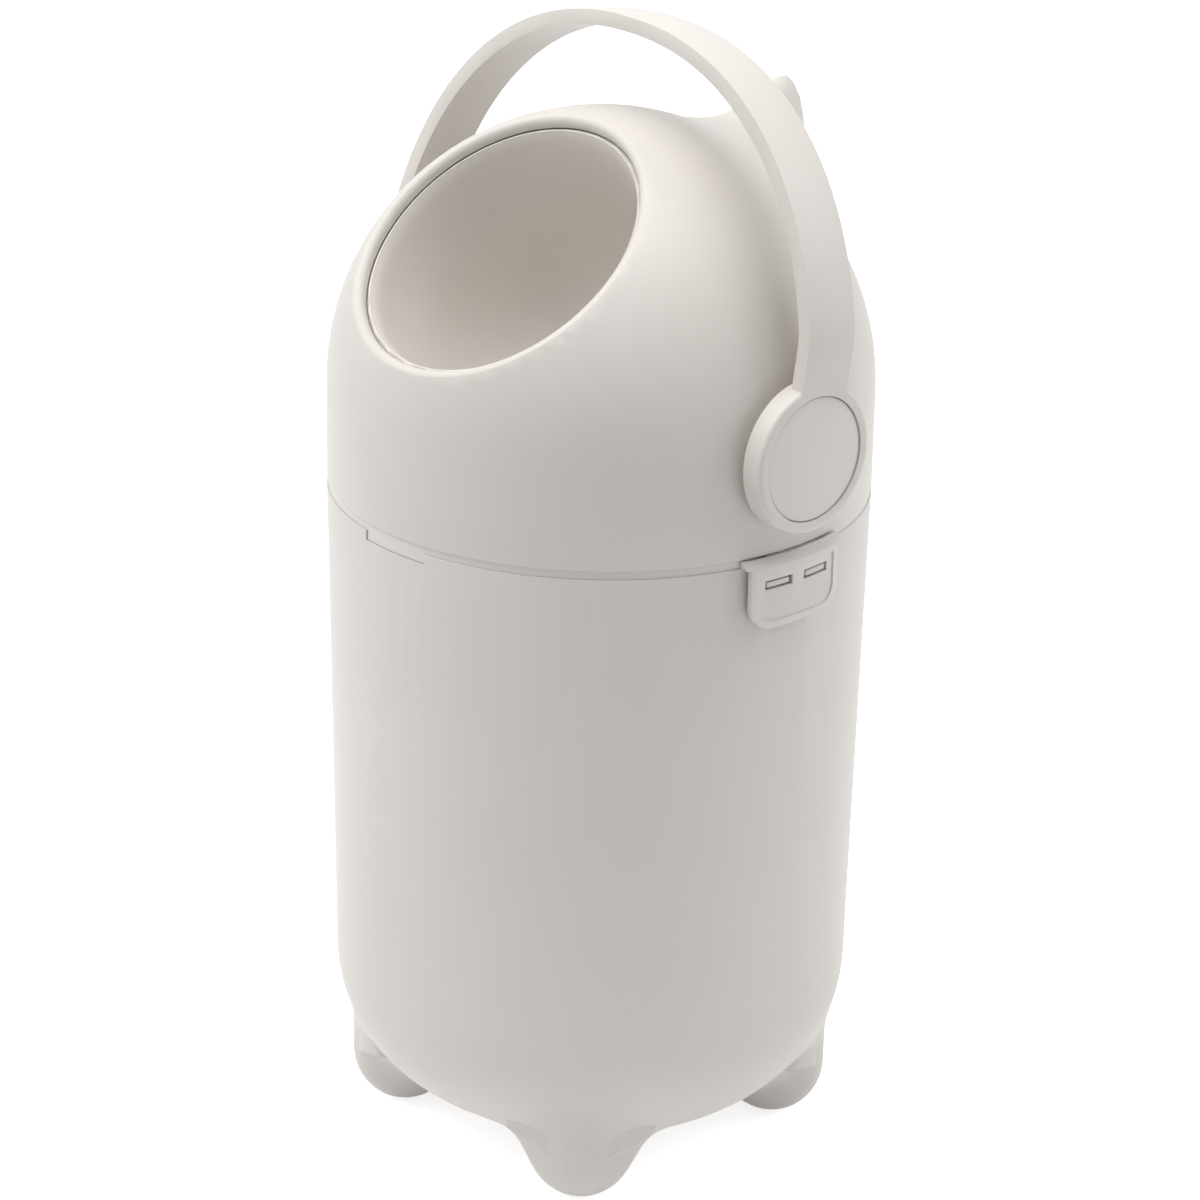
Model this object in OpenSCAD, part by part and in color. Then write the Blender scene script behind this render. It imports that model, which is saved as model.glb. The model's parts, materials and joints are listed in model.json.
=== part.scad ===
// Nappy bin: a round bin on four moulded feet, a hinged dome lid, and a ball drum turned by a U handle.
// Millimetres, +Z up, origin on the floor under the bin's axis. The mouth faces -Y and the latch is on +X.

/* [Bin body] */
// Outer radius of the bin at its rim
body_r = 140; // [120:1:160]
// Height of the rim above the floor
body_top_z = 359.9; // [280:0.1:420]
// Thickness of the moulded wall
body_wall = 2.8; // [2:0.1:4]
// Slope of the wall, in mm of radius for each mm of height
wall_draft = 0.0164; // [0.005:0.0001:0.03]
// Radius of the rounded corner under the bin
belly_r = 80; // [60:1:90]
// Height of the flat underside above the floor
belly_z = 18.7; // [14:0.1:26]
/* [Feet] */
// Radius of the rounded foot tips
foot_r = 28.2; // [22:0.1:32]
// Distance from the wall in to the middle of each foot
foot_in = 40.6; // [36:0.1:46]
// Depth of the flat that each foot stands on
foot_flat = 0.9; // [0.5:0.1:2]
// Radius of the hollow curve from a foot into the underside
foot_flare_r = 19; // [12:0.5:24]
// Radius of a foot's rounded outer face, where it runs up into the wall
foot_face_r = 60; // [45:1:80]
/* [Lid] */
// Height of the gap that shows the bag ring under the lid
band_h = 4.6; // [3:0.1:8]
// Height of the lid's straight part, from its edge up to the pivots
skirt_h = 49.4; // [44:0.1:60]
// Thickness of the lid's wall
dome_wall = 2.6; // [2:0.1:4]
// Radius of the round mouth
mouth_r = 76.8; // [60:0.1:80]
// Angle of the mouth's axis above the horizontal
mouth_tilt = 50.7; // [45:0.1:60]
// Radius of the rounded lip round the mouth
lip_r = 4; // [3:0.1:5]
/* [Rear horn] */
// Radius of the horn's blunt tip
horn_tip_r = 8; // [6:0.5:10]
// Radius of the hollow under the horn
horn_core_r = 7; // [5:0.5:9]
/* [Handle] */
// How far the arch's full curve would stand outside the body at the pivots
arch_out = 19; // [14:0.5:24]
// Room for a hand between the lid and the arch's crown
hand_room = 40.3; // [32:0.1:60]
// Thickness of the arch
arch_t = 7.6; // [6:0.1:10]
// Width of the arch, front to back
arch_w = 31.3; // [24:0.1:36]
// Lean of the resting handle, back from upright
handle_lean = 8.66; // [0:0.01:12]
// Radius of the round hubs
hub_r = 38; // [34:0.5:42]
// Thickness of the hubs
hub_t = 11.4; // [10:0.1:14]
// Radius of the hub caps
hub_cap_r = 31.9; // [26:0.1:32]
/* [Ball drum] */
// Gap between the ball and the inside of the lid
ball_gap = 5.4; // [4:0.1:9]
// Thickness of the ball's wall
ball_wall = 2.2; // [1.8:0.1:3]
// Step in from the mouth to the bowl's rim
bowl_step = 1.8; // [1.5:0.1:4]
// How much narrower the bowl is at its round bottom
bowl_taper = 2.8; // [2:0.1:8]
// Height of the bowl's sloping side, from its round bottom to its rim
bowl_side_h = 56.6; // [40:0.1:70]
// Radius of the axles
axle_r = 8; // [6:0.5:9]
/* [Latch] */
// Width of the snap flap
flap_w = 60; // [50:1:70]
// Thickness of the snap flap
flap_t = 2.8; // [2:0.1:4]
// Length of the flap, top to bottom
flap_h = 36.6; // [32:0.1:45]
// Width of the flap's raised border
flap_border = 3.6; // [2.5:0.1:5]

/* [Hidden] */
$fn = 96;
eps = 0.01;
shell_colour = [0.81, 0.79, 0.77];
trim_colour = [0.84, 0.82, 0.80];
seal_colour = [0.36, 0.36, 0.37];
steel_colour = [0.72, 0.73, 0.75];

// Clearances
touch_gap = 0.05;      // between pieces of one body that fit together
run_gap = 0.05;        // round a pin or an axle that turns
move_gap = 0.3;        // between faces that move past each other

// Heights
lid_z = body_top_z + band_h;
pivot_z = lid_z + skirt_h;
belly_top_z = belly_z + belly_r;
belly_wall_r = body_r - wall_draft * (body_top_z - belly_top_z);
belly_centre_r = belly_wall_r - belly_r;
ball_r = body_r - dome_wall - ball_gap;
bowl_rim_r = mouth_r - bowl_step;
arch_half_w = body_r + arch_out;
arch_reach = body_r + hand_room + arch_t;

// Feet: the wall sweeps in to a foot's outer face between these heights
foot_place_r = body_r - foot_in;
foot_face_step = 0.6;  // the outer face stands this far outside the round tip
foot_outer_r = foot_place_r + foot_r + foot_face_step;
sweep_low_z = 42;
sweep_high_z = 102;
sweep_steps = 8;
foot_tip_z = foot_r - foot_flat;
flare_drop = 7.6;      // the hollow curve's centre lies this far below the tip's centre
flare_u = sqrt(pow(foot_r + foot_flare_r, 2) - pow(flare_drop, 2));
flare_top_u = flare_u - 4;  // where the hollow curve has run into the underside

// Hinge on the left
hinge_x = -(body_r + 6);
hinge_z = body_top_z + band_h / 2;
knuckle_r = 5.5;
hinge_pin_r = 2.5;
lid_knuckle_w = 31.4;
hinge_w = 60;
knuckle_web_h = 7;

// Mouth, seen along its own axis: radius u and height v above the pivots
lip_out = 0.1;         // the lip stands this much proud, so that its curve crosses the ball of the dome
lip_u = mouth_r + lip_r - lip_out;
lip_v = sqrt(pow(body_r - lip_r + lip_out, 2) - pow(lip_u, 2));
collar_t = 4.7;
collar_low_v = sqrt(pow(ball_r + 1.2, 2) - pow(mouth_r, 2));

// Hubs and axles along the right-hand side; the left one is its mirror image
boss_r = 26;
boss_x = body_r + 0.6;
hub_x = boss_x + 0.6;
hub_face_x = hub_x + hub_t;
ball_boss_r = 20;
ball_boss_x = ball_r + 1.3;
ball_boss_t = 9.3;
bush_flange_t = 1;
bush_flange_r = 15;
bush_wall = 2.4;
boss_inner_x = ball_boss_x + move_gap + bush_flange_t;
axle_flange_r = 16;
axle_flange_t = 4;
key_w = 11;
key_end_x = hub_x + 5.6;
cap_t = 2.6;
cap_recess = 0.7;
cap_x = hub_face_x - cap_recess - cap_t;
hub_screw_head_r = 5.5;
hub_screw_head_t = 2;
hub_screw_r = 2;
hub_screw_depth = 18;

// Ring that closes the lid's underside round the ball
throat_z = lid_z + 3;
throat_t = 2.6;
throat_boss_r = 3.2;
throat_boss_h = 7.5;
throat_screw_r = 1.5;
throat_screws_count = 6;
throat_mid_r = body_r - 8.8;
seal_bite = 3;

// Bag ring
ring_top_gap = 0.4;
ring_in = 0.8;
ring_flange_w = 9.5;
skirt_gap = 1.2;
skirt_t = 2;
skirt_depth = 25;
tab_angle = 8.92;
tab_depth = 4.8;
tab_t = 2.2;

// Latch flap
flap_stand = 2.4;      // from the body's wall out to the flap's back
flap_axis_x = body_r - 1.7;
flap_axis_z = lid_z - 2.4;
flap_barrel_r = 1.5;
flap_pin_r = 0.8;
flap_top_z = flap_axis_z + flap_barrel_r;
strip_r = body_r + 0.3;
strip_t = 1.2;
flap_rim_gap = 0.5;    // the strip's underside passes this far above the body's rim
flap_corner_r = 13;
flap_top_w = 2.6;      // the flap's top strip is this much wider on each side
flap_shoulder = 3.6;   // drop of the sloping shoulder under the strip
flap_recess = 0.8;     // depth of the panel inside the border
lug_y = 7;             // the lid's two hinge lugs lie this far from the middle
lug_w = 4;
lug_neck = 0.5;        // a lug's neck ends this far outside the hinge line, clear of the turning strip
barrel_half = 17;
barrel_room = 0.7;
slot_h = 5;
slot_w = 17.5;
slot_y = 12.7;
slot_drop = 9.6;       // from the hinge line down to the slots' top edge
hook_h = 2.6;
hook_w = 14;
hook_stand = 1.4;      // the catches stand this far out of the wall

function smooth(t) = t <= 0 ? 0 : t >= 1 ? 1 : t * t * (3 - 2 * t);

// Shapes are drawn on the right-hand side and mirrored to the left
module sides(left) {
    if (left) mirror([1, 0, 0]) children();
    else children();
}
// Turns +Z to the mouth's axis and moves the origin to the pivots
module on_mouth_axis() {
    translate([0, 0, pivot_z]) rotate([90 - mouth_tilt, 0, 0]) children();
}
// Turns +Z to +X and moves the origin to the pivots
module on_pivot_axis() {
    translate([0, 0, pivot_z]) rotate([0, 90, 0]) children();
}
module ring(r_out, r_in, h) {
    rotate_extrude() translate([r_in, 0]) square([r_out - r_in, h]);
}

// ---- Bin body ----
module bin_outline(inset, top) {
    top_r = body_r + wall_draft * (top - body_top_z) - inset;
    polygon([[0, belly_top_z], [belly_wall_r - inset, belly_top_z], [top_r, top], [0, top]]);
    intersection() {
        translate([belly_centre_r, belly_top_z]) circle(r = belly_r - inset);
        translate([belly_centre_r, belly_z]) square([belly_r, belly_r + eps]);
    }
    translate([0, belly_z + inset]) square([belly_centre_r + eps, belly_r - inset]);
}
// What a foot may not pass: a rounded outer face that sweeps up into the wall
module foot_limit(inset) {
    wall_high_r = body_r - wall_draft * (body_top_z - sweep_high_z);
    face_place_r = foot_outer_r - foot_face_r;
    sweep = [for (i = [0:sweep_steps]) [
        foot_face_r + (wall_high_r - foot_outer_r) * smooth(i / sweep_steps) - inset,
        sweep_low_z + (sweep_high_z - sweep_low_z) * i / sweep_steps
    ]];
    translate([face_place_r, 0, 0]) rotate_extrude()
        polygon(concat([[0, -1], [foot_face_r - inset, -1]], sweep, [[0, sweep_high_z]]));
}
// One foot: a round tip that spreads in a hollow curve into the underside
module foot_column(inset) {
    touch_z = foot_tip_z - flare_drop * foot_r / (foot_r + foot_flare_r);
    translate([0, 0, foot_tip_z]) sphere(r = foot_r - inset);
    rotate_extrude() difference() {
        translate([0, touch_z]) square([flare_top_u - inset, sweep_high_z - touch_z]);
        translate([flare_u, foot_tip_z - flare_drop]) circle(r = foot_flare_r + inset);
    }
}
module feet(inset) {
    for (corner = [45:90:315]) rotate([0, 0, corner]) intersection() {
        translate([foot_place_r, 0, 0]) foot_column(inset);
        foot_limit(inset);
    }
}
module body_knuckles() {
    arm = (hinge_w - lid_knuckle_w) / 2 - move_gap;
    for (side = [-1, 1]) {
        mid_y = side * (hinge_w - arm) / 2;
        translate([hinge_x, mid_y, hinge_z]) rotate([90, 0, 0])
            cylinder(r = knuckle_r, h = arm, center = true);
        translate([hinge_x, mid_y - arm / 2, body_top_z - knuckle_web_h - 0.7])
            cube([knuckle_r + 8, arm, knuckle_web_h]);
    }
}
module hooks() {
    hook_top = flap_axis_z - slot_drop - (slot_h - hook_h) / 2;
    root = body_wall + 4;
    intersection() {
        cylinder(r = body_r + hook_stand, h = body_top_z);
        for (side = [-1, 1]) translate([body_r - root, side * slot_y - hook_w / 2, hook_top - hook_h])
            cube([root + flap_stand, hook_w, hook_h]);
    }
}
module bin_body() {
    color(shell_colour) difference() {
        union() {
            rotate_extrude() bin_outline(0, body_top_z);
            feet(0);
            body_knuckles();
            hooks();
        }
        rotate_extrude() bin_outline(body_wall, body_top_z + 1);
        feet(body_wall);
        translate([0, 0, -10]) cylinder(r = body_r, h = 10);
        // notch in the rim for the bag ring's tab
        rotate([0, 0, -90 - tab_angle - 0.2]) translate([0, 0, body_top_z - tab_depth - move_gap])
            rotate_extrude(angle = 2 * tab_angle + 0.4)
                translate([body_r - 10, 0]) square([12, tab_depth + 2]);
        translate([hinge_x, 0, hinge_z]) rotate([90, 0, 0])
            cylinder(r = hinge_pin_r, h = hinge_w + 2, center = true);
    }
}
module bag_ring() {
    ring_z = body_top_z;
    flange_r = body_r - ring_in;
    skirt_r = body_r - body_wall - skirt_gap;
    flat_x = flap_axis_x - flap_barrel_r - barrel_room;
    color(trim_colour) difference() {
        bag_ring_blank(ring_z, flange_r, skirt_r);
        // a flat on the flange leaves room for the snap flap's hinge
        translate([flat_x, -flap_w / 2, ring_z - eps]) cube([body_r - flat_x, flap_w, band_h]);
    }
}
module bag_ring_blank(ring_z, flange_r, skirt_r) {
    union() {
        rotate_extrude() {
            translate([flange_r - ring_flange_w, ring_z])
                square([ring_flange_w, band_h - ring_top_gap]);
            translate([skirt_r - skirt_t, ring_z - skirt_depth]) square([skirt_t, skirt_depth + 1]);
        }
        rotate([0, 0, -90 - tab_angle]) rotate_extrude(angle = 2 * tab_angle)
            translate([flange_r - tab_t, ring_z - tab_depth]) square([tab_t, tab_depth + 1]);
    }
}
module hinge_pin() {
    head_t = 1.2;
    color(steel_colour) translate([hinge_x, 0, hinge_z]) rotate([90, 0, 0]) {
        cylinder(r = hinge_pin_r, h = hinge_w, center = true);
        translate([0, 0, hinge_w / 2]) cylinder(r = hinge_pin_r + 1.2, h = head_t);
    }
}

// ---- Lid ----
module dome_outline(r, low_z) {
    intersection() {
        translate([0, pivot_z]) circle(r = r);
        translate([0, pivot_z]) square([r + 1, r + 1]);
    }
    translate([0, low_z]) square([r, pivot_z - low_z + eps]);
}
// The horn is a ridge in the plane x = 0: [elevation seen from the pivots, stand-off over the dome's radius].
// Up to 35 degrees it follows the wall's own vertical line, then it rounds over its tip and sweeps down.
horn_ridge = concat(
    [for (e = [0:7:35]) [e, 1 / cos(e) - 1]],
    [[40, 0.298], [43, 0.34], [45, 0.352], [47, 0.35], [48.5, 0.325], [50, 0.27], [51.5, 0.195],
     [53.5, 0.12], [56.5, 0.068], [61, 0.026], [66, 0]]
);
// Half-width of the ridge, in degrees, at the same elevations
horn_widths = [[0, 17], [14, 16], [27, 14], [37, 11], [43, 7], [48, 5.2], [52, 6.5], [58, 10], [66, 14]];
horn_cols = 16;
horn_spread = 2.6;
horn_sink = 0.9;       // the patch's edge lies this far under the dome's surface
function horn_k(s) = pow(1 + s * s, -2);
function horn_point(e, r, side) = [r * sin(side), r * cos(side) * cos(e), r * cos(side) * sin(e)];
function horn_col(j) = let (t = 2 * j / horn_cols - 1) horn_spread * t * (0.45 + 0.55 * abs(t));
module horn() {
    rows = len(horn_ridge);
    cols = horn_cols + 1;
    outer = [for (row = horn_ridge) for (j = [0:horn_cols]) let (
        s = horn_col(j), side = s * lookup(row[0], horn_widths),
        edge = row[0] == 0 || row[0] == 66
    ) horn_point(row[0], body_r * (1 + (edge ? 0 : row[1] * horn_k(s))) - horn_sink, side)];
    inner = [for (row = horn_ridge) for (j = [0:horn_cols])
        horn_point(row[0], body_r - dome_wall * 0.7, horn_col(j) * lookup(row[0], horn_widths))];
    n = rows * cols;
    function at(i, j) = i * cols + j;
    skin = [for (i = [0:rows - 2]) for (j = [0:cols - 2]) for (f = [
        [at(i, j), at(i + 1, j + 1), at(i + 1, j)], [at(i, j), at(i, j + 1), at(i + 1, j + 1)]
    ]) f];
    base = [for (f = skin) [n + f[0], n + f[2], n + f[1]]];
    sides_j = [for (i = [0:rows - 2]) for (f = [
        [at(i, 0), n + at(i + 1, 0), n + at(i, 0)], [at(i, 0), at(i + 1, 0), n + at(i + 1, 0)],
        [at(i, cols - 1), n + at(i, cols - 1), n + at(i + 1, cols - 1)],
        [at(i, cols - 1), n + at(i + 1, cols - 1), at(i + 1, cols - 1)]
    ]) f];
    ends_i = [for (j = [0:cols - 2]) for (f = [
        [at(0, j), n + at(0, j), n + at(0, j + 1)], [at(0, j), n + at(0, j + 1), at(0, j + 1)],
        [at(rows - 1, j), n + at(rows - 1, j + 1), n + at(rows - 1, j)],
        [at(rows - 1, j), at(rows - 1, j + 1), n + at(rows - 1, j + 1)]
    ]) f];
    translate([0, 0, pivot_z])
        polyhedron(points = concat(outer, inner), faces = concat(skin, base, sides_j, ends_i));
}
// The hollow inside the horn: a leaning cone with a round end, open to the inside of the lid
module horn_core() {
    low = [0.843 * body_r, 0.43 * body_r];
    high = [0.9 * body_r, 0.93 * body_r];
    lean = atan2(high[0] - low[0], high[1] - low[1]);
    reach = norm(high - low);
    top_r = horn_tip_r - dome_wall - 1;
    translate([0, low[0], pivot_z + low[1]]) rotate([-lean, 0, 0]) {
        cylinder(r1 = 2.6 * horn_core_r, r2 = top_r, h = reach);
        translate([0, 0, reach]) sphere(r = top_r);
    }
}
module lip_cutter() {
    rotate_extrude() difference() {
        translate([mouth_r - 8, lip_v]) square([lip_u - mouth_r + 11, 16]);
        translate([lip_u, lip_v]) circle(r = lip_r);
        translate([lip_u + (body_r / (body_r - lip_r) - 1) * lip_u + 0.2, lip_v - 1]) square([12, 20]);
    }
}
// Two lugs under the lid's edge carry the snap flap
module latch_lugs() {
    for (side = [-1, 1]) translate([flap_axis_x, side * lug_y, flap_axis_z]) {
        rotate([90, 0, 0]) cylinder(r = flap_barrel_r, h = lug_w, center = true);
        translate([-flap_barrel_r, -lug_w / 2, 0])
            cube([flap_barrel_r + lug_neck, lug_w, lid_z - flap_axis_z + 1]);
    }
}
module throat_posts(r, h) {
    for (i = [0:throat_screws_count - 1]) rotate([0, 0, 30 + i * 360 / throat_screws_count])
        translate([throat_mid_r, 0, throat_z + throat_t]) cylinder(r = r, h = h);
}
module throat_ribs() {
    for (i = [0:throat_screws_count - 1]) rotate([0, 0, 30 + i * 360 / throat_screws_count])
        translate([throat_mid_r, -1, throat_z + throat_t])
            cube([body_r - dome_wall / 2 - throat_mid_r, 2, throat_boss_h]);
}
module dome() {
    color(shell_colour) difference() {
        union() {
            difference() {
                union() {
                    rotate_extrude() dome_outline(body_r, lid_z);
                    horn();
                    for (left = [false, true]) sides(left) translate([boss_inner_x, 0, 0])
                        on_pivot_axis() cylinder(r = boss_r, h = boss_x - boss_inner_x);
                    translate([hinge_x, -lid_knuckle_w / 2, lid_z + 0.2]) cube([14, lid_knuckle_w, 3]);
                }
                rotate_extrude() dome_outline(body_r - dome_wall, lid_z - 1);
                horn_core();
            }
            latch_lugs();
            for (left = [false, true]) sides(left) translate([boss_inner_x, 0, 0])
                on_pivot_axis() cylinder(r = boss_r, h = boss_x - boss_inner_x);
            translate([hinge_x, 0, hinge_z]) rotate([90, 0, 0])
                cylinder(r = knuckle_r, h = lid_knuckle_w, center = true);
            on_mouth_axis() translate([0, 0, collar_low_v])
                ring(mouth_r + collar_t, mouth_r - 1, lip_v + 3.2 - collar_low_v);
            throat_posts(throat_boss_r, throat_boss_h);
            throat_ribs();
        }
        on_mouth_axis() {
            cylinder(r = mouth_r, h = body_r + 5);
            lip_cutter();
        }
        for (left = [false, true]) sides(left) on_pivot_axis()
            cylinder(r = axle_r + run_gap + bush_wall, h = body_r + 10);
        translate([hinge_x, 0, hinge_z]) rotate([90, 0, 0])
            cylinder(r = hinge_pin_r + run_gap, h = hinge_w, center = true);
        translate([flap_axis_x, 0, flap_axis_z]) rotate([90, 0, 0])
            cylinder(r = flap_pin_r + run_gap, h = 2 * barrel_half, center = true);
        throat_posts(throat_screw_r, throat_boss_h - 2);
    }
}
module mouth_seal() {
    seal_u = mouth_r + collar_t + touch_gap;
    outer_u = seal_u + 5.5;
    color(seal_colour) on_mouth_axis() rotate_extrude($fn = 240) intersection() {
        difference() {
            circle(r = body_r - dome_wall - touch_gap, $fn = 360);
            circle(r = ball_r + move_gap, $fn = 360);
        }
        translate([seal_u, 0]) square([outer_u - seal_u, body_r]);
    }
}
module throat_ring() {
    inner_r = sqrt(pow(ball_r, 2) - pow(pivot_z - throat_z - throat_t, 2)) + seal_bite;
    color(trim_colour) difference() {
        translate([0, 0, throat_z])
            ring(body_r - dome_wall - touch_gap, inner_r, throat_t);
        for (i = [0:throat_screws_count - 1]) rotate([0, 0, 30 + i * 360 / throat_screws_count])
            translate([throat_mid_r, 0, throat_z - 1]) cylinder(r = throat_screw_r, h = throat_t + 2);
    }
}
module throat_seal() {
    grip = 0.2;
    inner_r = sqrt(pow(ball_r, 2) - pow(pivot_z - throat_z - throat_t, 2)) + seal_bite;
    color(seal_colour) translate([0, 0, pivot_z]) rotate_extrude($fn = 240) difference() {
        translate([inner_r - seal_bite - 3, throat_z - pivot_z - 1.4])
            square([seal_bite + 3 - touch_gap, throat_t + 2.4 + grip]);
        circle(r = ball_r + move_gap, $fn = 360);
    }
}
module throat_screws() {
    color(steel_colour) for (i = [0:throat_screws_count - 1])
        rotate([0, 0, 30 + i * 360 / throat_screws_count]) translate([throat_mid_r, 0, throat_z]) {
            cylinder(r = throat_screw_r, h = throat_t + throat_boss_h - 3);
            translate([0, 0, -1.6]) cylinder(r = 2 * throat_screw_r, h = 1.6);
        }
}
module bush(left) {
    sleeve_r = axle_r + run_gap + bush_wall - touch_gap;
    color(trim_colour) sides(left) on_pivot_axis() difference() {
        union() {
            translate([0, 0, boss_inner_x - bush_flange_t]) cylinder(r = bush_flange_r, h = bush_flange_t);
            translate([0, 0, boss_inner_x - eps]) cylinder(r = sleeve_r, h = boss_x + 0.3 - boss_inner_x);
        }
        cylinder(r = axle_r + run_gap, h = body_r + 10);
    }
}
module bush_left() { bush(true); }
module bush_right() { bush(false); }

// ---- Handle ----
arch_power = 2.2;
arch_steps = 40;
// Half of the arch's outline, from the leg's foot to the crown, moved in by inset
function arch_side(inset, side) = [for (i = [0:arch_steps]) let (
    a = i * 90 / arch_steps,
    w = (arch_half_w - inset) * pow(cos(a), 2 / arch_power),
    h = (arch_reach - inset) * pow(sin(a), 2 / arch_power)
) [side * min(w, hub_face_x - inset), h]];
module handle_arch() {
    right_out = arch_side(0, 1);
    left_out = arch_side(0, -1);
    right_in = arch_side(arch_t, 1);
    left_in = arch_side(arch_t, -1);
    outline = concat(
        right_out, [for (i = [arch_steps - 1:-1:0]) left_out[i]],
        left_in, [for (i = [arch_steps - 1:-1:0]) right_in[i]]
    );
    translate([0, 0, pivot_z]) rotate([90 - handle_lean, 0, 0])
        linear_extrude(height = arch_w, center = true) polygon(outline);
}
module hub() {
    edge = 2.5;
    translate([hub_x, 0, 0]) on_pivot_axis() rotate_extrude() {
        square([hub_r, hub_t - edge]);
        square([hub_r - edge, hub_t]);
        translate([hub_r - edge, hub_t - edge]) circle(r = edge);
    }
}
module hub_cuts() {
    on_pivot_axis() {
        translate([0, 0, cap_x]) cylinder(r = hub_cap_r + 0.25, h = 20);
        translate([0, 0, key_end_x + 0.2]) cylinder(r = hub_screw_head_r + 0.5, h = 20);
        cylinder(r = hub_screw_r + 0.1, h = body_r + 20);
    }
    translate([hub_x - 1, 0, pivot_z]) rotate([handle_lean, 0, 0])
        translate([0, -key_w / 2 - touch_gap, -key_w / 2 - touch_gap])
        cube([key_end_x - hub_x + 1 - 1.2, key_w + 2 * touch_gap, key_w + 2 * touch_gap]);
}
module handle() {
    color(shell_colour) difference() {
        union() {
            difference() {
                handle_arch();
                for (left = [false, true]) sides(left) on_pivot_axis()
                    cylinder(r = hub_r - 4, h = body_r + 30);
            }
            for (left = [false, true]) sides(left) hub();
        }
        for (left = [false, true]) sides(left) hub_cuts();
    }
}
module hub_cap(left) {
    color(trim_colour) sides(left) on_pivot_axis() translate([0, 0, cap_x]) difference() {
        rotate_extrude() {
            square([hub_cap_r, cap_t - 0.5]);
            square([hub_cap_r - 0.5, cap_t]);
        }
        translate([0, 0, -1]) cylinder(r = hub_screw_head_r + 1, h = 1.6);
    }
}
module hub_cap_left() { hub_cap(true); }
module hub_cap_right() { hub_cap(false); }
module hub_screws() {
    color(steel_colour) for (left = [false, true]) sides(left) on_pivot_axis() {
        translate([0, 0, key_end_x + 0.2]) cylinder(r = hub_screw_head_r, h = hub_screw_head_t - 0.4);
        translate([0, 0, key_end_x - hub_screw_depth]) cylinder(r = hub_screw_r, h = hub_screw_depth + 1);
    }
}
module axle(left) {
    flange_x = ball_boss_x - ball_boss_t - axle_flange_t;
    color(trim_colour) sides(left) difference() {
        union() {
            on_pivot_axis() {
                translate([0, 0, flange_x]) cylinder(r = axle_flange_r, h = axle_flange_t);
                translate([0, 0, flange_x]) cylinder(r = axle_r, h = hub_x - 0.1 - flange_x);
            }
            translate([hub_x - 2, 0, pivot_z]) rotate([handle_lean, 0, 0])
                translate([0, -key_w / 2, -key_w / 2])
                cube([key_end_x - 1.4 - hub_x + 2, key_w, key_w]);
        }
        on_pivot_axis() {
            translate([0, 0, key_end_x - hub_screw_depth - 1]) cylinder(r = hub_screw_r, h = 60);
            axle_screw_holes();
        }
    }
}
module axle_screw_holes() {
    for (a = [0:90:270]) rotate([0, 0, a + 45]) translate([axle_flange_r - 3.8, 0, 0])
        cylinder(r = 1.5, h = ball_boss_x - 2);
}
module axle_left() { axle(true); }
module axle_right() { axle(false); }
module axle_screws() {
    head_x = ball_boss_x - ball_boss_t - axle_flange_t - 1.8;
    color(steel_colour) for (left = [false, true]) sides(left) on_pivot_axis()
        for (a = [0:90:270]) rotate([0, 0, a + 45]) translate([axle_flange_r - 3.8, 0, head_x]) {
            cylinder(r = 2.8, h = 1.8);
            cylinder(r = 1.5, h = 12);
        }
}

// ---- Ball drum and bowl ----
split_v = -26;         // height of the joint between the ball's halves, along the mouth's axis
lap_h = 8;
lap_t = 1.8;
rim_v = sqrt(pow(ball_r, 2) - pow(bowl_rim_r, 2));
flange_v = rim_v - 24.6;
flange_t = 2.6;
flange_r = bowl_rim_r + 17;
post_u = bowl_rim_r + 11;
post_r = 3.4;
bowl_screw_r = 1.5;
module drum_front() {
    color(shell_colour) difference() {
        union() {
            difference() {
                union() {
                    sphere_at_pivot(ball_r);
                    for (left = [false, true]) sides(left) on_pivot_axis()
                        cylinder(r = ball_boss_r, h = ball_boss_x);
                }
                sphere_at_pivot(ball_r - ball_wall);
            }
            for (left = [false, true]) sides(left) translate([ball_boss_x - ball_boss_t, 0, 0])
                on_pivot_axis() cylinder(r = ball_boss_r, h = ball_boss_t);
            intersection() {
                on_mouth_axis() posts(flange_v + flange_t, post_r, 20);
                sphere_at_pivot(ball_r - 1);
            }
        }
        on_mouth_axis() {
            translate([0, 0, 40]) cylinder(r = bowl_rim_r + touch_gap, h = ball_r);
            translate([0, 0, split_v - 200]) cylinder(r = body_r, h = 200);
            posts(flange_v + flange_t - 1, bowl_screw_r, 9);
        }
        for (left = [false, true]) sides(left) on_pivot_axis() {
            cylinder(r = axle_r + touch_gap, h = body_r);
            axle_screw_holes();
        }
    }
}
module sphere_at_pivot(r) {
    translate([0, 0, pivot_z]) sphere(r = r);
}
module posts(v, r, h) {
    for (a = [45:90:315]) rotate([0, 0, a]) translate([post_u, 0, v]) cylinder(r = r, h = h);
}
module drum_back() {
    lap_r = ball_r - ball_wall - touch_gap;
    color(shell_colour) on_mouth_axis() rotate_extrude() {
        intersection() {
            difference() {
                circle(r = ball_r);
                circle(r = ball_r - ball_wall);
            }
            translate([0, -ball_r - 1]) square([ball_r + 1, ball_r + 1 + split_v]);
        }
        intersection() {
            difference() {
                circle(r = lap_r);
                circle(r = lap_r - lap_t);
            }
            translate([0, split_v - lap_h]) square([ball_r, 1.5 * lap_h]);
        }
        // the web that joins the lap to the shell
        intersection() {
            difference() {
                circle(r = ball_r - 1);
                circle(r = lap_r - 1);
            }
            translate([0, split_v - lap_h]) square([ball_r, lap_h / 2]);
        }
    }
}
module bowl_outline(inset) {
    rim = bowl_rim_r - inset;
    low = bowl_rim_r - bowl_taper - inset;
    centre_v = rim_v - bowl_side_h;
    polygon([[0, centre_v], [low, centre_v], [rim, rim_v + 2 * inset], [0, rim_v + 2 * inset]]);
    intersection() {
        translate([0, centre_v]) circle(r = low);
        translate([0, centre_v - low - 1]) square([low + 1, low + 1]);
    }
}
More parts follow.
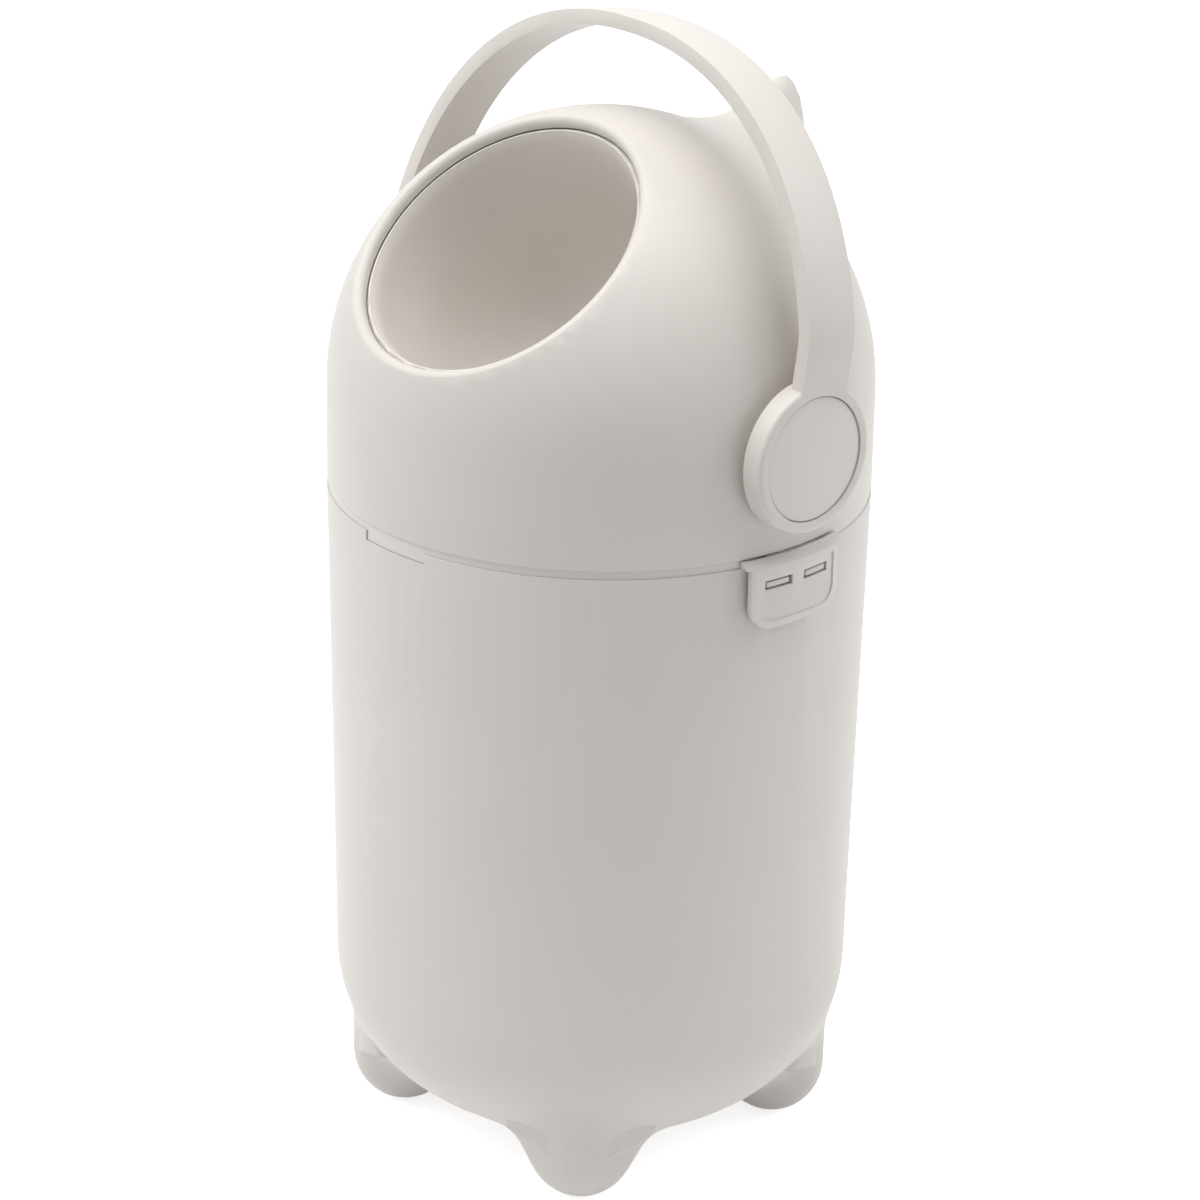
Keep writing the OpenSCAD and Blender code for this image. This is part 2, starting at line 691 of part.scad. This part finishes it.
module bowl() {
    color(shell_colour) on_mouth_axis() difference() {
        union() {
            rotate_extrude() bowl_outline(0);
            translate([0, 0, flange_v]) cylinder(r = flange_r, h = flange_t);
        }
        rotate_extrude() bowl_outline(ball_wall);
        posts(flange_v - 1, bowl_screw_r, flange_t + 2);
    }
}
module bowl_screws() {
    color(steel_colour) on_mouth_axis() {
        posts(flange_v - 1.6, 2 * bowl_screw_r, 1.6);
        posts(flange_v - 1.6, bowl_screw_r, 10);
    }
}

// ---- Latch ----
// Section through the flap: a strip in the band, a sloping shoulder and the plate over the wall
module flap_section() {
    back = body_r + flap_stand;
    face = back + flap_t;
    shoulder_z = flap_top_z - flap_shoulder;
    low_z = flap_top_z - flap_h;
    under_z = body_top_z + flap_rim_gap;
    polygon([
        [strip_r, flap_top_z], [strip_r + strip_t, flap_top_z], [face, shoulder_z], [face, low_z],
        [back, low_z], [back, under_z], [strip_r, under_z]
    ]);
}
// The flap's outline seen from the front, with room for the shoulder above
module flap_outline(inset, top_extra) {
    half = flap_w / 2 - inset;
    low_z = flap_top_z - flap_h + inset;
    corner = flap_corner_r - inset;
    height = flap_h - 2 * inset;
    translate([body_r / 2, 0, 0]) rotate([90, 0, 90]) linear_extrude(height = body_r) union() {
        translate([-half, low_z + corner]) square([2 * half, height - corner]);
        translate([-half + corner, low_z]) square([2 * (half - corner), corner + 1]);
        for (side = [-1, 1]) translate([side * (half - corner), low_z + corner]) circle(r = corner);
        if (top_extra > 0) translate([-half - top_extra, low_z + height - flap_shoulder])
            square([2 * (half + top_extra), flap_shoulder]);
    }
}
// The panel inside the flap's border, a little below its face
module flap_panel() {
    intersection() {
        translate([0, 0, flap_top_z - flap_h])
            ring(body_r + flap_stand + flap_t + 1, body_r + flap_stand + flap_t - flap_recess,
                flap_h - flap_shoulder - flap_border);
        flap_outline(flap_border, 0);
    }
}
module barrel(from, to) {
    translate([flap_axis_x, to, flap_axis_z]) rotate([90, 0, 0]) cylinder(r = flap_barrel_r, h = to - from);
    // the web between the barrel and the strip
    intersection() {
        translate([0, 0, flap_axis_z - 0.8 * flap_barrel_r])
            ring(strip_r + strip_t / 2, flap_axis_x, 1.4 * flap_barrel_r);
        translate([flap_axis_x - 5, from, flap_axis_z - 5]) cube([10, to - from, 10]);
    }
}
module latch_flap() {
    inner = lug_y - lug_w / 2 - move_gap;
    outer = lug_y + lug_w / 2 + move_gap;
    color(trim_colour) difference() {
        union() {
            intersection() {
                rotate_extrude() flap_section();
                flap_outline(0, flap_top_w);
            }
            barrel(-inner, inner);
            barrel(outer, barrel_half);
            barrel(-barrel_half, -outer);
            translate([flap_axis_x, 0, flap_axis_z]) rotate([90, 0, 0])
                cylinder(r = flap_pin_r, h = 2 * outer + 1, center = true);
        }
        flap_panel();
        for (side = [-1, 1])
            translate([body_r - 10, side * slot_y - slot_w / 2, flap_axis_z - slot_drop - slot_h])
                cube([30, slot_w, slot_h]);
    }
}

bin_body();
bag_ring();
hinge_pin();
dome();
mouth_seal();
throat_ring();
throat_seal();
throat_screws();
bush_left();
bush_right();
handle();
hub_cap_left();
hub_cap_right();
hub_screws();
axle_left();
axle_right();
axle_screws();
drum_front();
drum_back();
bowl();
bowl_screws();
latch_flap();
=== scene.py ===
import json
import math
import bpy
import numpy as np
from mathutils import Matrix, Vector

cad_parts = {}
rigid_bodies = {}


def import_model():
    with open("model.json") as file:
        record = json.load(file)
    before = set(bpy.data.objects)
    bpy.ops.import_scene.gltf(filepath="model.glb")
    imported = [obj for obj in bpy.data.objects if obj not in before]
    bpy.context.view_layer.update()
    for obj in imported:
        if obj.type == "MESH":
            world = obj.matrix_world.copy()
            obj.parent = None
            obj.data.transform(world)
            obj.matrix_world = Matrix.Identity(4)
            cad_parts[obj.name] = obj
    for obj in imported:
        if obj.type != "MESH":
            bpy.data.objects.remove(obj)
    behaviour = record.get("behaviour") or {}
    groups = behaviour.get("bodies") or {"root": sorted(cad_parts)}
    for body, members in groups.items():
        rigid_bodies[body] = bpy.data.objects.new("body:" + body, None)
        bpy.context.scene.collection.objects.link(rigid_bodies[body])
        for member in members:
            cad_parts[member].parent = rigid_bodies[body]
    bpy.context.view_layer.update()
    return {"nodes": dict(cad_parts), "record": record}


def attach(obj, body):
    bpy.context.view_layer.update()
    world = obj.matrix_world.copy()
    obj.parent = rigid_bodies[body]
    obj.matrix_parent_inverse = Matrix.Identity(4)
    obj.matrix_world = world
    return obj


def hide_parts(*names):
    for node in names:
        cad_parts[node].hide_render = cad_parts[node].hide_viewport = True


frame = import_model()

MM = 0.001
nodes = frame["nodes"]
body_of = {name: body for body, names in frame["record"]["behaviour"]["bodies"].items() for name in names}
slot_of = {sub["node"]: sub["material_slot"] for sub in frame["record"]["subparts"]}
bpy.ops.object.select_all(action="DESELECT")


# ---- Colours and materials ----
SHEEN_SWING = 0.05  # the roughness drifts this far to both sides
PLASTIC_IOR = 1.49


def srgb(code):
    """An sRGB hex colour as Blender's linear RGBA."""
    values = [int(code[i:i + 2], 16) / 255 for i in (1, 3, 5)]
    return [v / 12.92 if v <= 0.04045 else ((v + 0.055) / 1.055) ** 2.4 for v in values] + [1.0]


def add_node(tree, kind, settings=None, inputs=None):
    """Adds a node, sets its properties, and fills or links its sockets."""
    node = tree.nodes.new(kind)
    for name, value in (settings or {}).items():
        setattr(node, name, value)
    for name, value in (inputs or {}).items():
        if isinstance(value, bpy.types.NodeSocket):
            tree.links.new(value, node.inputs[name])
        else:
            node.inputs[name].default_value = value
    return node


def grained(name, low, high, roughness, grain_mm, grain_depth, mottle_mm, metal=False):
    """A finish whose fine grain softens the highlights. A slow drift in the colour keeps wide walls
    from looking flat.

    The grain is drawn a few times coarser than a real one of about 0.2 mm, so that it shows.
    """
    material = bpy.data.materials.new(name)
    material.use_nodes = True
    tree = material.node_tree
    shader = tree.nodes["Principled BSDF"]
    place = add_node(tree, "ShaderNodeTexCoord").outputs["Object"]
    mottle = add_node(tree, "ShaderNodeTexNoise", inputs={
        "Vector": place, "Scale": 1 / (mottle_mm * MM), "Detail": 3.0})
    colour = add_node(tree, "ShaderNodeMix", {"data_type": "RGBA"}, {"Factor": mottle.outputs["Fac"]})
    colour.inputs["A"].default_value = srgb(low)
    colour.inputs["B"].default_value = srgb(high)
    tree.links.new(colour.outputs["Result"], shader.inputs["Base Color"])
    grain = add_node(tree, "ShaderNodeTexNoise", inputs={
        "Vector": place, "Scale": 1 / (grain_mm * MM), "Detail": 2.0, "Roughness": 0.6})
    sheen = add_node(tree, "ShaderNodeMapRange", inputs={
        "Value": grain.outputs["Fac"],
        "To Min": roughness - SHEEN_SWING,
        "To Max": roughness + SHEEN_SWING})
    tree.links.new(sheen.outputs["Result"], shader.inputs["Roughness"])
    bump = add_node(tree, "ShaderNodeBump", inputs={
        "Height": grain.outputs["Fac"], "Strength": 1.0, "Distance": grain_depth * MM})
    tree.links.new(bump.outputs["Normal"], shader.inputs["Normal"])
    if metal:
        shader.inputs["Metallic"].default_value = 1.0
    else:
        shader.inputs["IOR"].default_value = PLASTIC_IOR
    return material


# Each call gives the two ends of the colour, the roughness, the grain's size and depth in mm, and the
# drift's size in mm.
# polypropylene from a spark-eroded mould is dull, with wide and soft highlights
shell = grained("moulded matte polypropylene", "#CFCAC4", "#D3CEC9", 0.46, 0.9, 0.02, 60)
# from a smoother mould it is a little lighter, with a tighter sheen
trim = grained("moulded satin polypropylene", "#D2CDC8", "#D6D1CC", 0.36, 0.7, 0.01, 40)
# soft rubber takes the light and shows as a dark, dull line
seal = grained("moulded grey elastomer", "#5A5A5C", "#626264", 0.62, 0.8, 0.02, 30)
# the bowl is the shell's plastic drawn paler: painted light that lifts the shade inside its hollow
shade_lifted = grained("moulded pale polypropylene", "#D9D4CF", "#DDD8D3", 0.42, 0.9, 0.015, 50)
# zinc plating shines cool and grey, and blurs what it mirrors
steel = grained("zinc plated steel", "#B8BABC", "#C4C6C8", 0.34, 0.6, 0.01, 12, metal=True)
FINISHES = {"shell_plastic": shell, "trim_plastic": trim, "seal_rubber": seal, "steel": steel}


def finish(piece, material):
    """Gives a piece one material all over."""
    piece.data.materials.clear()
    piece.data.materials.append(material)


# ---- Mouldings: each CAD solid with the small rounded edges that a mould gives ----
SAME_PLACE = 0.002 * MM  # points nearer than this are one
FLAT_DEG = 0.5  # faces that turn by less than this are one
SHARP_DEG = 40  # an edge that turns by more than this is rounded
CRISP_DEG = 35  # an edge that turns by more than this keeps its line in the shading
EDGE_STEPS = 3  # faces across a rounded edge


def only(piece):
    """Selects one object alone and makes it the active one."""
    bpy.ops.object.select_all(action="DESELECT")
    piece.select_set(True)
    bpy.context.view_layer.objects.active = piece


def merged_copy(name, node):
    """A copy of a CAD node whose loose triangles are merged to whole faces."""
    piece = nodes[node].copy()
    piece.data = nodes[node].data.copy()
    piece.parent = None
    piece.name = name
    bpy.context.scene.collection.objects.link(piece)
    only(piece)
    if piece.data.has_custom_normals:
        bpy.ops.mesh.customdata_custom_splitnormals_clear()
    bpy.ops.object.mode_set(mode="EDIT")
    bpy.ops.mesh.select_all(action="SELECT")
    bpy.ops.mesh.remove_doubles(threshold=SAME_PLACE)
    bpy.ops.mesh.dissolve_limited(angle_limit=math.radians(FLAT_DEG))
    bpy.ops.object.mode_set(mode="OBJECT")
    return piece


def round_edges(piece, edge_mm, sharp_deg=SHARP_DEG, soft_edge=None):
    """Rounds the sharp edges. soft_edge, if given, returns an edge's share of the radius from its middle."""
    only(piece)
    rounding = piece.modifiers.new("rounding", "BEVEL")
    rounding.width = edge_mm * MM
    rounding.segments = EDGE_STEPS
    rounding.limit_method = "ANGLE"
    rounding.angle_limit = math.radians(sharp_deg)
    if soft_edge:
        bpy.ops.object.mode_set(mode="EDIT")
        bpy.ops.mesh.select_all(action="DESELECT")
        bpy.ops.mesh.select_mode(type="EDGE")
        bpy.ops.mesh.edges_select_sharp(sharpness=math.radians(sharp_deg))
        bpy.ops.object.mode_set(mode="OBJECT")
        mesh = piece.data
        weights = mesh.attributes.new("bevel_weight_edge", "FLOAT", "EDGE")
        for edge in mesh.edges:
            if edge.select:
                middle = (mesh.vertices[edge.vertices[0]].co + mesh.vertices[edge.vertices[1]].co) / 2
                weights.data[edge.index].value = soft_edge(middle / MM)
        rounding.limit_method = "WEIGHT"
    bpy.ops.object.modifier_apply(modifier="rounding")
    # where two roundings meet the bevel leaves slivers of no width
    bpy.ops.object.mode_set(mode="EDIT")
    bpy.ops.mesh.select_all(action="SELECT")
    bpy.ops.mesh.remove_doubles(threshold=SAME_PLACE)
    bpy.ops.mesh.dissolve_degenerate(threshold=SAME_PLACE)
    bpy.ops.object.mode_set(mode="OBJECT")


def stands_for(piece, node):
    """Smooth shading, the node's finish, and the node's place in the object."""
    only(piece)
    bpy.ops.object.shade_smooth_by_angle(angle=math.radians(CRISP_DEG))
    piece.select_set(False)
    finish(piece, FINISHES[slot_of[node]])
    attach(piece, body_of[node])
    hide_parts(node)


def moulding(name, node, edge_mm, soft_edge=None):
    """A CAD node with its sharp edges rounded."""
    piece = merged_copy(name, node)
    round_edges(piece, edge_mm, SHARP_DEG, soft_edge)
    stands_for(piece, node)


# ---- The bin: its underside swells smoothly into the four feet ----
BELLY_R, BELLY_TOP = 80.0, 98.7  # the round corner under the wall, and the height at which it starts
WALL_R, WALL_DRAFT = 135.716, 0.0164  # the wall at that height, and how fast it widens above it
BELLY_CENTRE_R = WALL_R - BELLY_R
FOOT_R, FOOT_PLACE_R, FOOT_TIP_Z, FOOT_ROOT_Z = 28.2, 99.4, 27.3, 120
FOOT_TURNS = (45, 135, 225, 315)
MELT_ALONG, MELT_ACROSS = 10, 12  # how far a foot melts into the belly, and how much farther at its flanks
HALF_FOOT_TURN = 24  # a foot lies within this angle to both sides of its middle
FOOT_POINTS, GAP_POINTS = 120, 24  # points round the bin across one foot and in one gap between feet
CORNER_RINGS, MIDDLE_RINGS = 100, 12  # rings round the corner, and from there in to the middle
SPLIT_Z = 112.0  # the CAD wall ends here and the moulded underside takes over
SMOOTH_BELOW = SPLIT_Z - 5


def plain_body(r, z):
    """Distance outside the bin without its feet: a tapering wall, a round corner and a flat underside."""
    wall = r - WALL_R - WALL_DRAFT * (z - BELLY_TOP)
    corner = np.hypot(r - BELLY_CENTRE_R, z - BELLY_TOP) - BELLY_R
    under = BELLY_TOP - BELLY_R - z
    return np.where(z > BELLY_TOP, wall, np.where(r > BELLY_CENTRE_R, corner, under))


def with_feet(r, z, turn):
    """Distance outside the bin and its feet, which melt into each other like soft wax."""
    distance = plain_body(r, z)
    for foot_turn in FOOT_TURNS:
        across = r * np.sin(turn - math.radians(foot_turn))
        outward = r * np.cos(turn - math.radians(foot_turn)) - FOOT_PLACE_R
        aside = np.hypot(across, outward)
        foot = np.hypot(aside, z - np.clip(z, FOOT_TIP_Z, FOOT_ROOT_Z)) - FOOT_R
        melt = MELT_ALONG + MELT_ACROSS * (across / np.maximum(aside, 0.01)) ** 2
        near = np.clip(1 - np.abs(distance - foot) / melt, 0, 1)
        distance = np.minimum(distance, foot) - near * near * melt / 4
    return distance


def base_skin():
    """Rings of points down the wall, round the corner and in to the middle of the underside.

    Each point lies where a ray from inside the bin comes out of it for the last time.
    """
    rays = [(0, z, 1, 0, WALL_R) for z in np.linspace(SPLIT_Z - 1, BELLY_TOP, 6)]
    for a in np.radians(np.linspace(90, 0, CORNER_RINGS))[1:]:
        rays.append((BELLY_CENTRE_R, BELLY_TOP, math.sin(a), -math.cos(a), BELLY_R))
    rays += [(r, BELLY_TOP, 0, -1, BELLY_R) for r in np.linspace(BELLY_CENTRE_R, 0, MIDDLE_RINGS)[1:]]
    # the points lie closest together across the feet
    quarter = np.concatenate([
        np.linspace(-HALF_FOOT_TURN, HALF_FOOT_TURN, FOOT_POINTS, endpoint=False),
        np.linspace(HALF_FOOT_TURN, 90 - HALF_FOOT_TURN, GAP_POINTS, endpoint=False)])
    turn = np.radians(np.concatenate([quarter + foot_turn for foot_turn in FOOT_TURNS]))
    around = len(turn)
    steps = np.arange(60, -6, -0.5)  # from well outside the feet to just inside the belly
    rings = []
    for r0, z0, dr, dz, start in rays:
        t = start + steps[:, None] + np.zeros(around)
        d = with_feet(r0 + dr * t, z0 + dz * t, turn[None, :])
        inside = np.argmax(d < 0, axis=0)
        column = np.arange(around)
        d_in, d_out = d[inside, column], d[inside - 1, column]
        reach = t[inside, column] + (t[inside - 1, column] - t[inside, column]) * d_in / (d_in - d_out)
        r, z = r0 + dr * reach, np.maximum(z0 + dz * reach, 0)
        rings.append(np.stack([r * np.cos(turn), r * np.sin(turn), z], axis=1) * MM)
    return rings


bin_piece = merged_copy("bin_moulding", "bin_body")
round_edges(bin_piece, 0.5, 50)
mesh = bin_piece.data
# the two catches, which alone stand proud of the wall on the flap's side, reach into the flap's slots
PROUD_R, CATCH_LOW_Z, CATCH_REACH = 140.9, 300, 2.4
for vertex in mesh.vertices:
    reach = math.hypot(vertex.co.x, vertex.co.y) / MM
    if vertex.co.x > 0 and reach > PROUD_R and vertex.co.z > CATCH_LOW_Z * MM:
        vertex.co.x *= (reach + CATCH_REACH) / reach
        vertex.co.y *= (reach + CATCH_REACH) / reach
# below the split the outer skin is cut away
bpy.ops.object.mode_set(mode="EDIT")
bpy.ops.mesh.select_mode(type="FACE")
bpy.ops.mesh.select_all(action="SELECT")
bpy.ops.mesh.bisect(plane_co=(0, 0, SPLIT_Z * MM), plane_no=(0, 0, 1))
bpy.ops.object.mode_set(mode="OBJECT")
for edge in mesh.edges:
    if all(abs(mesh.vertices[i].co.z / MM - SPLIT_Z) < 0.01 for i in edge.vertices):
        edge.use_seam = True
lowest = min(mesh.polygons, key=lambda face: face.center.z)
for face in mesh.polygons:
    face.select = face == lowest
bpy.ops.object.mode_set(mode="EDIT")
bpy.ops.mesh.select_linked(delimit={"SEAM"})
bpy.ops.mesh.delete(type="FACE")
bpy.ops.mesh.mark_seam(clear=True)
bpy.ops.object.mode_set(mode="OBJECT")

# the moulded underside takes its place, joined to the wall along the split
rings = base_skin()
around = len(rings[0])
points = [tuple(point) for ring in rings[:-1] for point in ring] + [tuple(rings[-1][0])]
faces = []
for i in range(len(rings) - 2):
    for j in range(around):
        a, b = i * around + j, i * around + (j + 1) % around
        faces.append((a, a + around, b + around, b))
last = (len(rings) - 2) * around
faces += [(last + j, len(points) - 1, last + (j + 1) % around) for j in range(around)]
skin = bpy.data.objects.new("base_skin", bpy.data.meshes.new("base_skin"))
skin.data.from_pydata(points, [], faces)
bpy.context.scene.collection.objects.link(skin)
first_of_skin = len(mesh.vertices)
only(bin_piece)
skin.select_set(True)
bpy.ops.object.join()
bpy.ops.object.mode_set(mode="EDIT")
bpy.ops.mesh.select_mode(type="EDGE")
bpy.ops.mesh.select_all(action="DESELECT")
bpy.ops.mesh.select_non_manifold()
bpy.ops.mesh.bridge_edge_loops()
bpy.ops.object.mode_set(mode="OBJECT")
for vertex in mesh.vertices:
    vertex.select = vertex.index >= first_of_skin and vertex.co.z / MM < SMOOTH_BELOW
bpy.ops.object.mode_set(mode="EDIT")
bpy.ops.mesh.select_mode(type="VERT")
bpy.ops.mesh.vertices_smooth(factor=0.5, repeat=8)
bpy.ops.object.mode_set(mode="OBJECT")
stands_for(bin_piece, "bin_body")
for edge in mesh.edges:
    if min(edge.vertices) >= first_of_skin:
        edge.use_edge_sharp = False

# ---- The lid, ring, flap and handle ----
moulding("bag_ring_moulding", "bag_ring", 0.4)

# the mouth's tilted frame: u is the distance from its axis, v the height over the pivots
PIVOT_Z, MOUTH_TILT, MOUTH_R = 413.9, 50.7, 76.8
mouth_frame = Matrix.Translation((0, 0, PIVOT_Z)) @ Matrix.Rotation(
    math.radians(90 - MOUTH_TILT), 4, "X")


def reshape_round_mouth(piece, change):
    """Moves vertices in the mouth's frame. change gives the new u and v of an old u and v, or None."""
    there = mouth_frame.inverted()
    for vertex in piece.data.vertices:
        place = there @ (vertex.co / MM)
        u = math.hypot(place.x, place.y)
        moved = change(u, place.z)
        if moved and u > 1:
            place = Vector((place.x * moved[0] / u, place.y * moved[0] / u, moved[1]))
            vertex.co = mouth_frame @ place * MM


# the mouth's collar reaches down to a hair's breadth over the ball, so the gap reads as one thin line
BALL_R, COLLAR_GAP, COLLAR_W, COLLAR_DROP = 132.0, 1.2, 6, 0.7  # the gap is the one before the drop
COLLAR_V = math.sqrt((BALL_R + COLLAR_GAP) ** 2 - MOUTH_R ** 2)


def drop_collar(u, v):
    """Lowers the collar's lower rim and leaves the rest of the lid."""
    return (u, v - COLLAR_DROP) if abs(v - COLLAR_V) < 0.05 and u < MOUTH_R + COLLAR_W else None


lid = merged_copy("lid_moulding", "dome")
reshape_round_mouth(lid, drop_collar)
round_edges(lid, 0.5)
stands_for(lid, "dome")
moulding("flap_moulding", "latch_flap", 0.5)
moulding("cap_left_moulding", "hub_cap_left", 0.3)
moulding("cap_right_moulding", "hub_cap_right", 0.3)
# the handle is soft to the hand, but the recess for each cap keeps a tight edge
HUB_X, CAP_SEAT_R, TIGHT_EDGE = 139, 35, 0.15


def handle_edge(middle):
    """An edge's share of the radius: little round a cap's recess, all of it elsewhere."""
    in_recess = abs(middle.x) > HUB_X and math.hypot(middle.y, middle.z - PIVOT_Z) < CAP_SEAT_R
    return TIGHT_EDGE if in_recess else 1.0


moulding("handle_moulding", "handle", 2.2, handle_edge)

# ---- The bowl: its rim rolls over to the ball in a soft curve ----
RIM_R, BOWL_WALL = 75.0, 2.2
RIM_V = math.sqrt(BALL_R ** 2 - RIM_R ** 2)
ROLL, ROLL_IN, ROLL_UP = 8.0, 1.9, 0.3  # the roll's depth, its width, and how far its crest rises
ROLL_CUTS = (0.5, 1.2, 2.2, 3.4, 4.8, 6.4, ROLL)  # depths at which the wall is cut, so that it can bend
LAP, LAP_T = 1, 0.15  # the rim's outer edge laps this far over the ball, and stands this far off it


def roll_over(u, v):
    """The wall thins towards the rim, whose outer edge laps over the ball."""
    depth = RIM_V - v
    on_rim = depth < 0.01
    if depth > ROLL or u < RIM_R - 6:
        return None
    if u < RIM_R - BOWL_WALL / 2 - 0.4:  # the inner face
        return u + ROLL_IN * (1 - depth / ROLL) ** 2, v + (ROLL_UP if on_rim else 0)
    return (RIM_R + LAP, math.sqrt((BALL_R + LAP_T) ** 2 - (RIM_R + LAP) ** 2)) if on_rim else None


bowl = merged_copy("bowl_moulding", "bowl")
bpy.ops.object.mode_set(mode="EDIT")
for depth in ROLL_CUTS:
    bpy.ops.mesh.select_all(action="SELECT")
    bpy.ops.mesh.bisect(
        plane_co=mouth_frame @ Vector((0, 0, RIM_V - depth)) * MM,
        plane_no=mouth_frame.to_3x3() @ Vector((0, 0, 1)))
bpy.ops.object.mode_set(mode="OBJECT")
reshape_round_mouth(bowl, roll_over)
round_edges(bowl, 0.3)
stands_for(bowl, "bowl")
# the paler copy is painted light against the shade inside the bowl
finish(bowl, shade_lifted)

for name, slot in slot_of.items():
    finish(nodes[name], FINISHES[slot])

# ---- Camera, at the photograph's viewing angle ----
azimuth, pitch, roll = math.radians(46.598), math.radians(21.898), math.radians(1.107)
CAMERA_AWAY, TARGET_Z = 2277.8, 311.7
target = Vector((0, 0, TARGET_Z)) * MM
back = Vector((
    math.sin(azimuth) * math.cos(pitch),
    -math.cos(azimuth) * math.cos(pitch),
    math.sin(pitch)))
camera = bpy.data.objects.new("camera", bpy.data.cameras.new("camera"))
bpy.context.scene.collection.objects.link(camera)
turn = (-back).to_track_quat("-Z", "Y").to_matrix() @ Matrix.Rotation(roll, 3, "Z")
camera.matrix_world = Matrix.Translation(target + back * CAMERA_AWAY * MM) @ turn.to_4x4()
camera.data.lens = 131.72
camera.data.sensor_width = 36
camera.data.shift_x = 0.00206
camera.data.shift_y = -0.0288
camera.data.clip_end = 50
bpy.context.scene.camera = camera

# ---- Floor, background and lights ----
FLOOR_LIFT = 0.75  # light added to the floor as the eye sees it, so that it runs into the white behind
SKY_LIGHT = 0.27  # the level at which the white surroundings light the bin


def reaches_the_eye(tree):
    """1 for rays that the eye sees straight, mirrored or through glass, and 0 for the rest."""
    rays = add_node(tree, "ShaderNodeLightPath").outputs
    seen = add_node(tree, "ShaderNodeMath", {"operation": "MAXIMUM"}, {
        0: rays["Is Camera Ray"], 1: rays["Is Glossy Ray"]})
    return add_node(tree, "ShaderNodeMath", {"operation": "MAXIMUM"}, {
        0: seen.outputs[0], 1: rays["Is Transmission Ray"]}).outputs[0]


bpy.ops.mesh.primitive_plane_add(size=16, location=(0, 0, 0))
floor = bpy.context.active_object
floor.name = "floor"
paper = bpy.data.materials.new("white studio paper")
paper.use_nodes = True
tree = paper.node_tree
lift = add_node(tree, "ShaderNodeMath", {"operation": "MULTIPLY"}, {
    0: reaches_the_eye(tree), 1: FLOOR_LIFT})
shader = tree.nodes["Principled BSDF"]
shader.inputs["Base Color"].default_value = srgb("#F4F4F4")
shader.inputs["Roughness"].default_value = 0.9
shader.inputs["Emission Color"].default_value = (1, 1, 1, 1)
tree.links.new(lift.outputs[0], shader.inputs["Emission Strength"])
floor.data.materials.append(paper)

world = bpy.data.worlds.new("studio")
bpy.context.scene.world = world
world.use_nodes = True
tree = world.node_tree
background = tree.nodes["Background"]
level = add_node(tree, "ShaderNodeMapRange", inputs={
    "Value": reaches_the_eye(tree), "To Min": SKY_LIGHT, "To Max": 1.0})
tree.links.new(level.outputs["Result"], background.inputs["Strength"])
background.inputs["Color"].default_value = (1, 1, 1, 1)


def soft_box(name, place, size, watts):
    """A square lamp that faces the middle of the bin."""
    lamp = bpy.data.objects.new(name, bpy.data.lights.new(name, "AREA"))
    bpy.context.scene.collection.objects.link(lamp)
    lamp.data.size = size
    lamp.data.energy = watts
    aim = (target - Vector(place)).to_track_quat("-Z", "Y").to_matrix().to_4x4()
    lamp.matrix_world = Matrix.Translation(Vector(place)) @ aim


soft_box("lamp_left", (-2.0, -1.4, 0.9), 1.8, 8)
soft_box("lamp_right", (1.5, 1.9, 1.8), 1.8, 22)
soft_box("lamp_front", (-0.8, -1.2, 2.6), 1.4, 42)
soft_box("lamp_top", (0.4, 0.1, 2.8), 1.6, 36)

bpy.context.scene.view_settings.view_transform = "Standard"
